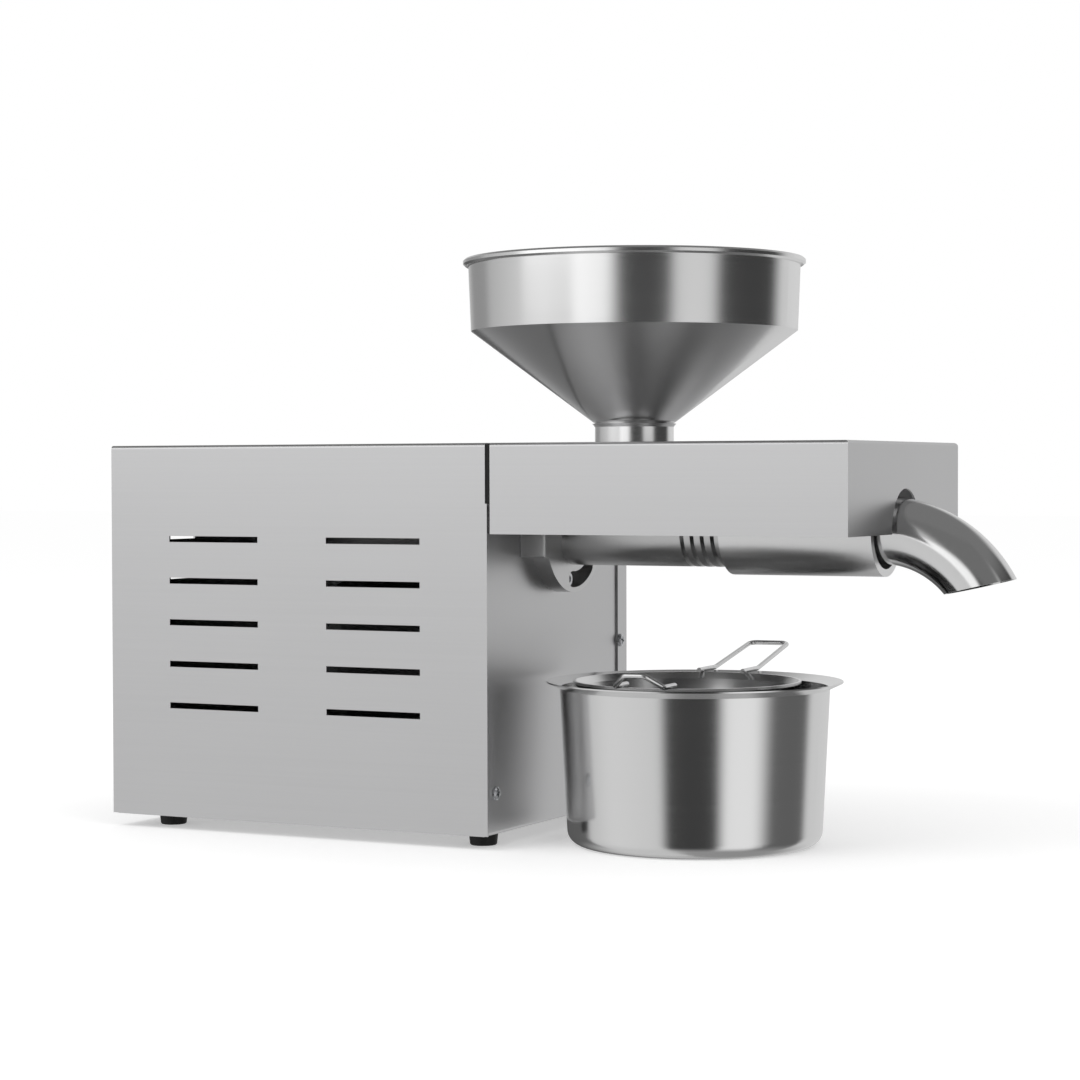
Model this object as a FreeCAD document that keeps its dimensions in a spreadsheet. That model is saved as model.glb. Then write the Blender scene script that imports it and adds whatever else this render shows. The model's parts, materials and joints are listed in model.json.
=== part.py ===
import FreeCAD, Part
import Sketcher
import math
import os
import re

# Tabletop screw oil press. Frame: +X runs along the barrel from the housing to the
# residue outlet, +Y to the control panel side, +Z up, ground at Z = 0.

doc = FreeCAD.newDocument("ScrewOilPress")
sheet = doc.addObject("Spreadsheet::Sheet", "Sizes")

# Driving dimensions in millimetres and degrees. Places are counted from the housing's
# outlet end face along X, from the barrel's axis along Y and from the ground along Z;
# end_x and axis_y put the origin under the middle of the whole object's box.
dimensions = {
    "end_x": -9.97,
    "axis_y": -18.06,
    "housing_long": 270,
    "housing_deep": 196,
    "housing_top": 242,
    "foot_high": 8,
    "gauge": 1.2,
    "fold": 2.2,
    "axis_z": 190,
    # folded flanges of the wrap cover and its cooling slots
    "flange_wide": 13.5,
    "flange_low": 24.3,
    "flange_high": 206,
    "slot_long": 65.5,
    "slot_high": 3.8,
    "slot_first_x": -225.9,
    "slot_column": 114.8,
    "slot_top": 183.2,
    "slot_pitch": 26.2,
    # arm cover over the barrel
    "arm_gap": 2,
    "arm_reach": 226,
    "arm_high": 54,
    "arm_hem": 10,
    "arch_half": 24.5,
    "neck_hole": 24.9,
    "rail_wide": 18,
    # hopper
    "hopper_x": 51,
    "rim_radius": 105,
    "rim_z": 355,
    "wall_radius": 101.8,
    "junction_radius": 100.2,
    "junction_z": 311,
    "neck_radius": 24.2,
    "neck_top": 254.2,
    "neck_foot": 222,
    "bowl_gauge": 0.8,
    # barrel, sleeve and outlet
    "barrel_radius": 23,
    "bore_radius": 17.2,
    "barrel_front": 186,
    "port_radius": 15,
    "ring_slot_x": 91,
    "ring_slot_wide": 2.6,
    "ring_slot_pitch": 6.6,
    "sleeve_radius": 27.5,
    "sleeve_start": 118,
    "sleeve_front": 214,
    "choke_front": 206,
    "elbow_radius": 20,
    "elbow_gauge": 1.6,
    "elbow_start": 212,
    "elbow_bend": 71,
    "elbow_turn": 66,
    "outlet_x": 271.3,
    "outlet_drop": 32.3,
    "outlet_tilt": 13,
    # socket flange on the end face
    "socket_radius": 40,
    "socket_thick": 11.2,
    "lug_thick": 17,
    "lug_front": 53,
    "lug_half": 17,
    "kidney_radius": 32,
    "kidney_wide": 10,
    "kidney_span": 46,
    "kidney_angle": -72,
    # screw and drive
    "flight_radius": 17,
    "core_tail": 9,
    "core_front": 13.4,
    "flight_pitch": 22,
    "hex_half": 8.5,
    "shaft_radius": 12,
    "pressure_angle": 25,
    "motor_drop": 84.75,
    "idler_drop": 47.25,
    "fine_module": 1.25,
    "coarse_module": 1.75,
    "pinion_teeth": 12,
    "idler_teeth": 48,
    "output_teeth": 42,
    "case_front": -2.4,
    "case_rear": -52.4,
    "case_radius": 46,
    "case_wall": 4,
    "motor_radius": 50,
    "stator_start": -72.4,
    "stator_end": -132.4,
    # oil pot and strainer
    "pot_x": 96.5,
    "pot_y": -12.5,
    "pot_foot": 76.7,
    "pot_mouth": 81.5,
    "pot_lip": 89.5,
    "pot_high": 98.6,
    "pot_corner": 9,
    "strainer_x": 92.4,
    "strainer_y": -14.6,
    "strainer_radius": 69,
    "strainer_deep": 40,
    "strainer_turn": 93,
    "wire_radius": 1.5,
    "handle_reach": 156,
    "handle_half": 14,
    "handle_rise": 12,
    "ear_reach": 86,
    "ear_half": 15,
    "ear_rise": 7,
    # control panel, switches and inlet
    "panel_x": -140,
    "panel_z": 150,
    "panel_wide": 132,
    "panel_high": 58,
    "key_radius": 5.2,
    "rocker_x": -96,
    "rocker_pitch": -22,
    "inlet_y": 48,
    "inlet_z": 44,
}
for row, (alias, value) in enumerate(dimensions.items(), start=1):
    sheet.set("A%d" % row, alias)
    sheet.set("B%d" % row, str(value))
    sheet.setAlias("B%d" % row, alias)
doc.recompute()

vector = FreeCAD.Vector
toward_x = FreeCAD.Rotation(vector(0, 1, 0), 90)
toward_y = FreeCAD.Rotation(vector(1, 0, 0), -90)
toward_front = FreeCAD.Rotation(vector(1, 0, 0), 90)
toward_left = FreeCAD.Rotation(vector(0, 1, 0), -90)
upright = FreeCAD.Rotation()
nodes = {}


def formula(text):
    """Write a formula of sheet words as FreeCAD's expressions name them."""
    return re.sub(r"[a-z]\w*", lambda word: "Sizes." * (word[0] in dimensions) + word[0], str(text))


def number(text):
    """Work out a formula of sheet words."""
    return float(sheet.evalExpression(str(text)))


def bind(item, path, text):
    item.setExpression(path, formula(text))


def put(item, spot):
    """Set an item's place, counted from the end face, the barrel's axis and the ground."""
    for letter, start, text in zip("xyz", ("end_x", "axis_y", "0"), spot):
        bind(item, "Placement.Base." + letter, "%s + (%s)" % (start, text))


def start_body(label, x="0", y="0", z="0"):
    """Start a body whose own origin sits at a place."""
    body = doc.addObject("PartDesign::Body", label)
    body.Label = label
    put(body, (x, y, z))
    nodes[label] = body
    return body


def start_sketch(body, plane, height="0"):
    """Start a sketch on one of the body's own planes, moved along its normal."""
    sketch = body.newObject("Sketcher::SketchObject", body.Name + "_sketch")
    sketch.AttachmentSupport = (next(item for item in body.Origin.OriginFeatures if item.Role == plane), [""])
    sketch.MapMode = "FlatFace"
    bind(sketch, "AttachmentOffset.Base.z", height)
    return sketch


def constrain(sketch, kind, places, text):
    index = sketch.addConstraint(Sketcher.Constraint(kind, *places, number(text)))
    bind(sketch, "Constraints[%d]" % index, text)


def outline(sketch, corners):
    """Draw a closed outline through corners, each held by its own two formulas."""
    spots = [vector(number(across), number(up), 0) for across, up in corners]
    first = sketch.GeometryCount
    count = len(spots)
    for index in range(count):
        sketch.addGeometry(Part.LineSegment(spots[index], spots[(index + 1) % count]), False)
    for index in range(count):
        sketch.addConstraint(Sketcher.Constraint("Coincident", first + index, 2, first + (index + 1) % count, 1))
    for index, (across, up) in enumerate(corners):
        constrain(sketch, "DistanceX", (-1, 1, first + index, 1), across)
        constrain(sketch, "DistanceY", (-1, 1, first + index, 1), up)


def box_outline(sketch, left, low, right, high):
    outline(sketch, [(left, low), (right, low), (right, high), (left, high)])


def circle(sketch, across, up, radius):
    index = sketch.addGeometry(Part.Circle(vector(number(across), number(up), 0), vector(0, 0, 1), number(radius)))
    constrain(sketch, "DistanceX", (-1, 1, index, 3), across)
    constrain(sketch, "DistanceY", (-1, 1, index, 3), up)
    constrain(sketch, "Radius", (index,), radius)


def grow(body, kind, sketch, length, reverse=False, both=False):
    """Pad or pocket a sketch by a length."""
    feature = body.newObject("PartDesign::" + kind, body.Name + "_" + kind.lower())
    feature.Profile = sketch
    bind(feature, "Length", length)
    feature.SideType = "Symmetric" if both else "One side"
    feature.Reversed = reverse
    return feature


def turn(body, kind, sketch, axis):
    """Revolve or groove a sketch a full turn about one of its own axes."""
    feature = body.newObject("PartDesign::" + kind, body.Name + "_" + kind.lower())
    feature.Profile = sketch
    feature.ReferenceAxis = (sketch, [axis])
    feature.Angle = 360
    return feature


def round_edges(body, radius, chosen, kind="Fillet"):
    """Fillet or chamfer the edges whose middle passes a test."""
    doc.recompute()
    base = body.Tip
    names = []
    for index, edge in enumerate(base.Shape.Edges, start=1):
        middle = edge.valueAt((edge.FirstParameter + edge.LastParameter) / 2)
        if chosen(edge, middle):
            names.append("Edge%d" % index)
    feature = body.newObject("PartDesign::" + kind, body.Name + "_" + kind.lower())
    feature.Base = (base, names)
    bind(feature, "Radius" if kind == "Fillet" else "Size", radius)
    return feature


def turned_x(label, profile, x="0", y="0", z="axis_z"):
    """Turn a profile of (along, radius) corners about an axis along X."""
    body = start_body(label, x, y, z)
    sketch = start_sketch(body, "XZ_Plane")
    outline(sketch, profile)
    turn(body, "Revolution", sketch, "H_Axis")
    return body


def turned_z(label, profile, x, y="0", z="0"):
    """Turn a profile of (radius, height) corners about a vertical axis."""
    body = start_body(label, x, y, z)
    sketch = start_sketch(body, "XZ_Plane")
    outline(sketch, profile)
    turn(body, "Revolution", sketch, "V_Axis")
    return body


def primitive(kind, name, spot, rotation=upright, **sizes):
    """Add a Part primitive at a place."""
    piece = doc.addObject("Part::" + kind, name)
    for key, text in sizes.items():
        bind(piece, key, text)
    piece.Placement.Rotation = rotation
    put(piece, spot)
    return piece


def block(name, low, high):
    """Add a box between two corners given as formulas."""
    sides = ["(%s) - (%s)" % (far, near) for near, far in zip(low, high)]
    return primitive("Box", name, low, Length=sides[0], Width=sides[1], Height=sides[2])


def combine(kind, label, shapes):
    """Fuse shapes, or gather separate ones, into one node."""
    joined = doc.addObject("Part::" + kind, label)
    if kind == "Compound":
        joined.Links = shapes
    else:
        joined.Shapes = shapes
    joined.Label = label
    nodes[label] = joined
    return joined


def cut(label, base, tool, node=True):
    result = doc.addObject("Part::Cut", label)
    result.Base = base
    result.Tool = tool
    result.Label = label
    if node:
        nodes[label] = result
    return result


def screws(label, spots, rotation, head_radius, head_high, shank_radius, shank_long):
    """Make a group of pan-head screws; each spot is the seat of a head that faces along its local +Z."""
    down = rotation.multVec(vector(0, 0, -1))
    pieces = []
    for index, spot in enumerate(spots):
        name = "%s_%d" % (label, index)
        pieces.append(primitive("Cone", name + "_head", spot, rotation,
                                Radius1=head_radius, Radius2="0.62 * (%s)" % head_radius, Height=head_high))
        foot = ["(%s) + %g * (%s)" % (text, part, shank_long) for text, part in zip(spot, down)]
        pieces.append(primitive("Cylinder", name + "_shank", foot, rotation,
                                Radius=shank_radius, Height=shank_long))
    return combine("MultiFuse", label, pieces)


# ---------------------------------------------------------------- housing

flange_middle = "(housing_deep / 2 - flange_wide / 2 - 3.4)"
right_screws = [("-" + flange_middle, "33.3"), (flange_middle, "33.3"), (flange_middle, "114.8")]
left_screws = [(side + flange_middle, height) for side in ("-", "") for height in ("33.3", "housing_top - 24")]
foot_across = "(housing_deep / 2 - 25)"
foot_places = {"front_right": ("-16", "-" + foot_across), "front_left": ("-housing_long + 29", "-" + foot_across),
               "rear_right": ("-16", foot_across), "rear_left": ("-housing_long + 29", foot_across)}


def screw_holes(body):
    """Cut the flange screws' clearance holes through both ends."""
    for place, spots in (("0", right_screws), ("-housing_long", left_screws)):
        sketch = start_sketch(body, "YZ_Plane", place)
        for across, up in spots:
            circle(sketch, across, up, "1.9")
        grow(body, "Pocket", sketch, "6 * gauge", both=True)


def make_chassis():
    """Bottom and both ends of the housing, folded from one sheet."""
    body = start_body("chassis")
    sketch = start_sketch(body, "XZ_Plane")
    left = "-housing_long + gauge"
    right = "-gauge"
    top = "housing_top - gauge - 0.2"
    outline(sketch, [
        (left, "foot_high"), (right, "foot_high"), (right, top), (right + " - gauge", top),
        (right + " - gauge", "foot_high + gauge"), (left + " + gauge", "foot_high + gauge"),
        (left + " + gauge", top), (left, top)])
    grow(body, "Pad", sketch, "housing_deep - 2 * gauge", both=True)
    round_edges(body, "fold", lambda edge, middle: middle.z < number("foot_high + 0.1")
                and abs(middle.y) < 1 and edge.Length > 100)
    shaft_hole = start_sketch(body, "YZ_Plane")
    circle(shaft_hole, "0", "axis_z", "shaft_radius + 6")
    grow(body, "Pocket", shaft_hole, "6 * gauge", both=True)
    ends = start_sketch(body, "YZ_Plane", "-housing_long")
    box_outline(ends, "inlet_y - 13.6", "inlet_z - 10", "inlet_y + 13.6", "inlet_z + 10")
    for row in range(5):
        low = "slot_top - slot_high / 2 - slot_pitch * %d" % row
        box_outline(ends, "-slot_long - 8", low, "-8", low + " + slot_high")
    grow(body, "Pocket", ends, "6 * gauge", both=True)
    screw_holes(body)
    floor = start_sketch(body, "XY_Plane", "foot_high")
    for along, across in foot_places.values():
        circle(floor, along, across, "1.9")
    grow(body, "Pocket", floor, "6 * gauge", both=True)


def make_wrap_cover():
    """Front, top and back of the housing, folded from one sheet, with flanges over the ends."""
    body = start_body("wrap_cover")
    half = "housing_deep / 2"
    inner = "(%s - gauge)" % half
    sketch = start_sketch(body, "YZ_Plane", "-housing_long")
    low = "foot_high + 0.4"
    outline(sketch, [
        ("-" + half, low), ("-" + inner, low), ("-" + inner, "housing_top - gauge"),
        (inner, "housing_top - gauge"), (inner, low), (half, low), (half, "housing_top"), ("-" + half, "housing_top")])
    grow(body, "Pad", sketch, "housing_long")
    lip = "(%s - flange_wide)" % half
    for side, high in (("-gauge", "flange_high"), ("-housing_long", "housing_top - 2 * gauge")):
        flanges = start_sketch(body, "YZ_Plane", side)
        box_outline(flanges, "-%s - 0.4" % inner, "flange_low", "-" + lip, high)
        box_outline(flanges, lip, "flange_low", inner + " + 0.4", high)
        grow(body, "Pad", flanges, "gauge")
    round_edges(body, "fold", lambda edge, middle: middle.z > number("housing_top - 0.1")
                and abs(middle.y) > number(half) - 0.1 and edge.Length > 100)
    slots = start_sketch(body, "XZ_Plane", half)
    for column in range(2):
        for row in range(5):
            left = "slot_first_x + slot_column * %d" % column
            base = "slot_top - slot_high / 2 - slot_pitch * %d" % row
            box_outline(slots, left, base, left + " + slot_long", base + " + slot_high")
    grow(body, "Pocket", slots, "6 * gauge", both=True)
    window = start_sketch(body, "XZ_Plane", "-" + half)
    box_outline(window, "panel_x - panel_wide / 2 + 6", "panel_z - panel_high / 2 + 6",
                "panel_x + panel_wide / 2 - 6", "panel_z + panel_high / 2 - 6")
    grow(body, "Pocket", window, "6 * gauge", both=True)
    notch = start_sketch(body, "XZ_Plane")
    box_outline(notch, "-gauge", "flange_high", "1", "housing_top + 1")
    grow(body, "Pocket", notch, "housing_deep + 2", both=True)
    screw_holes(body)


def make_cover_screws():
    """Pan-head screws through the wrap cover's flanges into the chassis ends."""
    pieces = []
    for label, place, spots, facing in (("right_screws", "0", right_screws, toward_x),
                                        ("left_screws", "-housing_long", left_screws, toward_left)):
        pieces.append(screws(label, [(place, across, up) for across, up in spots], facing,
                             "4.2", "2", "1.8", "2 * gauge"))
        del nodes[label]
    combine("Compound", "cover_screws", pieces)


def make_feet():
    """Four tapered rubber feet, each with a recess for its screw."""
    for name, (along, across) in foot_places.items():
        turned_z("foot_" + name, [
            ("1.8", "3.4"), ("4.6", "3.4"), ("4.6", "0"), ("7.6", "0"), ("8.2", "0.6"),
            ("9", "foot_high"), ("1.8", "foot_high")], x=along, y=across)
    down = FreeCAD.Rotation(vector(1, 0, 0), 180)
    spots = [(along, across, "3.4") for along, across in foot_places.values()]
    screws("foot_screws", spots, down, "3.6", "2.2", "1.8", "foot_high - 3.4 + gauge")


# ---------------------------------------------------------------- drive

def gear_outline(teeth, module, first_angle):
    """Points of a spur gear's outline: involute flanks, thinned for backlash, flat tips and roots."""
    angle = math.radians(number("pressure_angle"))
    pitch = teeth * module / 2
    base = pitch * math.cos(angle)
    tip = pitch + 0.92 * module
    root = pitch - 1.2 * module
    half_tooth = math.pi / 2 / teeth - 0.05 * module / pitch

    def flank_angle(radius):
        roll = math.acos(min(1.0, base / radius))
        return half_tooth + math.tan(angle) - angle - (math.tan(roll) - roll)

    start = max(base, root + 0.1)
    radii = [start + (tip - start) * step / 3 for step in range(4)]
    points = []
    for tooth in range(teeth):
        middle = first_angle + 2 * math.pi * tooth / teeth
        rising = [(root, middle - half_tooth * 1.25)] + [(radius, middle - flank_angle(radius)) for radius in radii]
        falling = [(radius, 2 * middle - spot) for radius, spot in reversed(rising)]
        points += [vector(0, radius * math.cos(spot), radius * math.sin(spot)) for radius, spot in rising + falling]
    return points


def make_gear(label, teeth, module, start, width, bore, drop, first_angle):
    """A spur gear about an axis along X, below the barrel's axis by a drop."""
    points = gear_outline(int(number(teeth)), number(module), first_angle)
    blank = Part.Face(Part.makePolygon(points + points[:1])).extrude(vector(width, 0, 0))
    bore_hole = Part.makeCylinder(number(bore), width + 2, vector(-1, 0, 0), vector(1, 0, 0))
    gear = doc.addObject("Part::Feature", label)
    gear.Shape = blank.cut(bore_hole)
    gear.Placement.Base = vector(number("end_x + (%s)" % start), number("axis_y"), number("axis_z - (%s)" % drop))
    gear.Label = label
    nodes[label] = gear


def make_gears():
    """Two reductions: motor pinion to idler gear, idler pinion to output gear."""
    half_tooth = "180 / %s"
    make_gear("motor_pinion", "pinion_teeth", "fine_module", -45, 12, "4", "motor_drop",
              math.radians(90 + number(half_tooth % "pinion_teeth")))
    make_gear("idler_gear", "idler_teeth", "fine_module", -44, 10, "7", "idler_drop", math.radians(-90))
    make_gear("idler_pinion", "pinion_teeth", "coarse_module", -29, 16, "7", "idler_drop",
              math.radians(90 + number(half_tooth % "pinion_teeth")))
    make_gear("output_gear", "output_teeth", "coarse_module", -28, 14, "shaft_radius", "0", math.radians(-90))


def make_gearbox():
    """Cast case that holds both reductions, closed by a front plate behind the end panel."""
    body = start_body("gearbox_case")
    low = "(axis_z - 60)"
    sections = (("Pad", "case_rear", "case_radius", "-case_rear - 10.4"),
                ("Pocket", "-10.4", "case_radius - case_wall", "-case_rear - 10.4 - case_wall"))
    for kind, place, radius, length in sections:
        sketch = start_sketch(body, "YZ_Plane", place)
        obround(sketch, "axis_z", low, radius)
        grow(body, kind, sketch, length)
    bores = start_sketch(body, "YZ_Plane", "case_rear")
    circle(bores, "0", "axis_z - motor_drop", "12")
    circle(bores, "0", "axis_z", "shaft_radius + 0.05")
    circle(bores, "0", "axis_z - idler_drop", "7.05")
    grow(body, "Pocket", bores, "4 * case_wall", both=True)
    plate = start_body("gearbox_plate")
    face = start_sketch(plate, "YZ_Plane", "-10.4")
    obround(face, "axis_z", low, "case_radius")
    grow(plate, "Pad", face, "10.4 + case_front")
    holes = start_sketch(plate, "YZ_Plane", "-10.4")
    circle(holes, "0", "axis_z", "20")
    circle(holes, "0", "axis_z - idler_drop", "7.05")
    grow(plate, "Pocket", holes, "30", both=True)
    turned_x("output_bearing", [("-10.4", "shaft_radius + 0.05"), ("case_front", "shaft_radius + 0.05"),
                                ("case_front", "20"), ("-10.4", "20")])
    turned_x("thrust_bearing", [("-13.9", "shaft_radius + 0.3"), ("-10.4", "shaft_radius + 0.3"),
                                ("-10.4", "22"), ("-13.9", "22")])


def obround(sketch, high, low, radius):
    """Draw a round-ended outline about two centres, one above the other."""
    top = number(high)
    base = number(low)
    size = number(radius)
    arcs = [(top, 0, math.pi), (base, math.pi, 2 * math.pi)]
    first = sketch.GeometryCount
    for middle, begin, end in arcs:
        ring = Part.Circle(vector(0, middle, 0), vector(0, 0, 1), size)
        sketch.addGeometry(Part.ArcOfCircle(ring, begin, end), False)
    sketch.addGeometry(Part.LineSegment(vector(-size, top, 0), vector(-size, base, 0)), False)
    sketch.addGeometry(Part.LineSegment(vector(size, base, 0), vector(size, top, 0)), False)
    joints = ((0, 2, 2, 1), (2, 2, 1, 1), (1, 2, 3, 1), (3, 2, 0, 1))
    for geometry, end, other, start in joints:
        sketch.addConstraint(Sketcher.Constraint("Tangent", first + geometry, end, first + other, start))
    for index, text in ((0, high), (1, low)):
        constrain(sketch, "DistanceX", (-1, 1, first + index, 3), "0")
        constrain(sketch, "DistanceY", (-1, 1, first + index, 3), text)
    constrain(sketch, "Radius", (first,), radius)


def make_motor():
    """Induction motor: end bells, laminated stator with its windings, and the turning parts."""
    drop = "axis_z - motor_drop"
    turned_x("motor_end_bell_drive", [
        ("case_rear", "6.6"), ("case_rear", "44"), ("case_rear - 4", "motor_radius"),
        ("stator_start", "motor_radius"), ("stator_start", "motor_radius - 3.5"), ("case_rear - 5", "motor_radius - 7"),
        ("case_rear - 5", "14"), ("case_rear - 12", "14"), ("case_rear - 12", "6.6")], z=drop)
    turned_x("motor_stator", [
        ("stator_end", "26"), ("stator_start", "26"), ("stator_start", "motor_radius"),
        ("stator_end", "motor_radius")], z=drop)
    turned_x("motor_end_bell_fan", [
        ("stator_end", "motor_radius"), ("stator_end - 20", "motor_radius"), ("stator_end - 24", "44"),
        ("stator_end - 24", "5.6"), ("stator_end - 14", "5.6"), ("stator_end - 14", "14"),
        ("stator_end - 20", "14"), ("stator_end - 20", "motor_radius - 5"), ("stator_end", "motor_radius - 3.5")],
        z=drop)
    for name, place in (("winding_drive", "stator_start"), ("winding_fan", "stator_end - 10")):
        turned_x("motor_" + name, [
            (place, "30"), (place + " + 10", "30"), (place + " + 10", "37"), (place + " + 7", "40"),
            (place + " + 3", "40"), (place, "37")], z=drop)
    turned_x("rotor_core", [
        ("stator_end", "8"), ("stator_start", "8"), ("stator_start", "25.4"), ("stator_end", "25.4")], z=drop)
    turned_x("motor_shaft", [
        ("-33", "0"), ("-33", "4"), ("-47", "4"), ("-47", "6.55"), ("stator_start + 2", "6.55"),
        ("stator_start + 2", "8"), ("stator_end - 2", "8"), ("stator_end - 2", "5.55"),
        ("stator_end - 44", "5.55"), ("stator_end - 44", "0")], z=drop)


def make_fan():
    """Cooling fan on the rear of the motor shaft: a hub, a disc and straight blades."""
    body = start_body("cooling_fan", z="axis_z - motor_drop")
    sketch = start_sketch(body, "XZ_Plane")
    outline(sketch, [
        ("stator_end - 42", "5.55"), ("stator_end - 28", "5.55"), ("stator_end - 28", "43"),
        ("stator_end - 30", "43"), ("stator_end - 30", "12"), ("stator_end - 42", "12")])
    turn(body, "Revolution", sketch, "H_Axis")
    blade = start_sketch(body, "YZ_Plane", "stator_end - 41")
    box_outline(blade, "-1", "11", "1", "42")
    grow(body, "Pad", blade, "11.5")
    blades = body.newObject("PartDesign::PolarPattern", "fan_blades")
    blades.Originals = [body.Tip]
    blades.Axis = (blade, ["N_Axis"])
    blades.Angle = 360
    blades.Occurrences = 9
    body.Tip = blades


def make_motor_cradle():
    """Saddle that stands the motor on the chassis floor."""
    base = block("cradle_block", ("stator_end + 8", "-36", "foot_high + gauge"),
                 ("stator_start - 8", "36", "axis_z - motor_drop - 24"))
    bed = primitive("Cylinder", "cradle_bed", ("stator_end", "0", "axis_z - motor_drop"), toward_x,
                    Radius="motor_radius", Height="80")
    window = block("cradle_window", ("stator_end + 4", "-24", "foot_high + gauge + 6"),
                   ("stator_start - 4", "24", "foot_high + 40"))
    cut("motor_cradle", cut("cradle_saddle", base, bed, node=False), window)


def make_idler_shaft():
    turned_x("idler_shaft", [("case_rear + 0.2", "0"), ("case_rear + 0.2", "7"), ("-3", "7"), ("-3", "0")],
             z="axis_z - idler_drop")


def make_output_shaft():
    """Output shaft with a hexagonal socket that takes the press screw's tail."""
    body = turned_x("output_shaft", [
        ("case_rear + 0.4", "0"), ("case_rear + 0.4", "shaft_radius"), ("0", "shaft_radius"), ("0", "16.6"),
        ("15", "16.6"), ("15", "0")])
    socket = start_sketch(body, "YZ_Plane", "15")
    outline(socket, hexagon("hex_half"))
    grow(body, "Pocket", socket, "15")


def hexagon(half):
    """Corners of a hexagon given half its width across flats."""
    return [("(%s) / cos(30) * cos(%d)" % (half, angle), "(%s) / cos(30) * sin(%d)" % (half, angle))
            for angle in range(30, 390, 60)]


# ---------------------------------------------------------------- press head

def make_socket_flange():
    """Machined flange that holds the barrel: clamp lug on one side and three kidney slots."""
    body = start_body("socket_flange", x="-gauge", z="axis_z")
    disc = start_sketch(body, "YZ_Plane")
    circle(disc, "0", "0", "socket_radius")
    grow(body, "Pad", disc, "socket_thick")
    lug = start_sketch(body, "YZ_Plane")
    box_outline(lug, "-lug_front", "-lug_half", "-30", "lug_half")
    grow(body, "Pad", lug, "lug_thick")
    bore = start_sketch(body, "YZ_Plane")
    circle(bore, "0", "0", "barrel_radius")
    grow(body, "Pocket", bore, "60", both=True)
    kidney = start_sketch(body, "YZ_Plane", "socket_thick")
    kidney_outline(kidney)
    pocket = grow(body, "Pocket", kidney, "socket_thick")
    pattern = body.newObject("PartDesign::PolarPattern", "kidney_slots")
    pattern.Originals = [pocket]
    pattern.Axis = (kidney, ["N_Axis"])
    pattern.Angle = 360
    pattern.Occurrences = 3
    body.Tip = pattern
    screw_way = start_sketch(body, "XY_Plane", "lug_half")
    circle(screw_way, "lug_thick / 2", "-lug_front + 9", "3.1")
    grow(body, "Pocket", screw_way, "22")
    round_edges(body, "1.2", lambda edge, middle: middle.y < number("-lug_front + 0.1"))


def kidney_outline(sketch):
    """Draw an arc-shaped slot about the sketch's origin."""
    middle = number("kidney_radius")
    half = number("kidney_wide") / 2
    begin = math.radians(number("kidney_angle - kidney_span / 2"))
    end = math.radians(number("kidney_angle + kidney_span / 2"))
    center = vector(0, 0, 0)
    normal = vector(0, 0, 1)

    def spot(radius, angle):
        return vector(radius * math.cos(angle), radius * math.sin(angle), 0)

    curves = [
        Part.ArcOfCircle(Part.Circle(center, normal, middle + half), begin, end),
        Part.ArcOfCircle(Part.Circle(spot(middle, end), normal, half), end, end + math.pi),
        Part.ArcOfCircle(Part.Circle(center, normal, middle - half), begin, end),
        Part.ArcOfCircle(Part.Circle(spot(middle, begin), normal, half), begin + math.pi, begin + 2 * math.pi)]
    for curve in curves:
        sketch.addGeometry(curve, False)
    for geometry, place, other, start in ((0, 2, 1, 1), (1, 2, 2, 2), (2, 1, 3, 1), (3, 2, 0, 1)):
        sketch.addConstraint(Sketcher.Constraint("Tangent", geometry, place, other, start))
    for index in (0, 2):
        sketch.addConstraint(Sketcher.Constraint("Coincident", index, 3, -1, 1))
    constrain(sketch, "Radius", (0,), "kidney_radius + kidney_wide / 2")
    constrain(sketch, "Radius", (2,), "kidney_radius - kidney_wide / 2")
    for index, sign in ((3, "-"), (1, "+")):
        angle = "(kidney_angle %s kidney_span / 2)" % sign
        constrain(sketch, "DistanceX", (-1, 1, index, 3), "kidney_radius * cos%s" % angle)


def make_flange_bolts():
    """Three bolts in the kidney slots and the clamp bolt in the lug."""
    spots = []
    for step in range(3):
        angle = "(kidney_angle - kidney_span / 2 + 120 * %d)" % step
        spots.append(("socket_thick / 2 - gauge", "kidney_radius * cos%s" % angle,
                      "axis_z + kidney_radius * sin%s" % angle))
    screws("flange_bolts", spots, toward_x, "4.4", "3.4", "2.6", "socket_thick / 2")
    screws("clamp_bolt", [("lug_thick / 2 - gauge", "-lug_front + 9", "axis_z + lug_half")],
           upright, "5.5", "5", "3", "20")


def make_barrel():
    """Press barrel with a feed port on top and oil slots cut from below between its rings."""
    body = turned_x("press_barrel", [
        ("-gauge + 0.2", "bore_radius"), ("barrel_front", "bore_radius"), ("barrel_front", "barrel_radius"),
        ("-gauge + 0.2", "barrel_radius")])
    port = start_sketch(body, "XY_Plane")
    circle(port, "hopper_x", "0", "port_radius")
    grow(body, "Pocket", port, "40", reverse=True)
    slots = start_sketch(body, "XZ_Plane")
    for index in range(4):
        left = "ring_slot_x + ring_slot_pitch * %d" % index
        box_outline(slots, left, "-30", left + " + ring_slot_wide", "9")
    grow(body, "Pocket", slots, "80", both=True)


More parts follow.
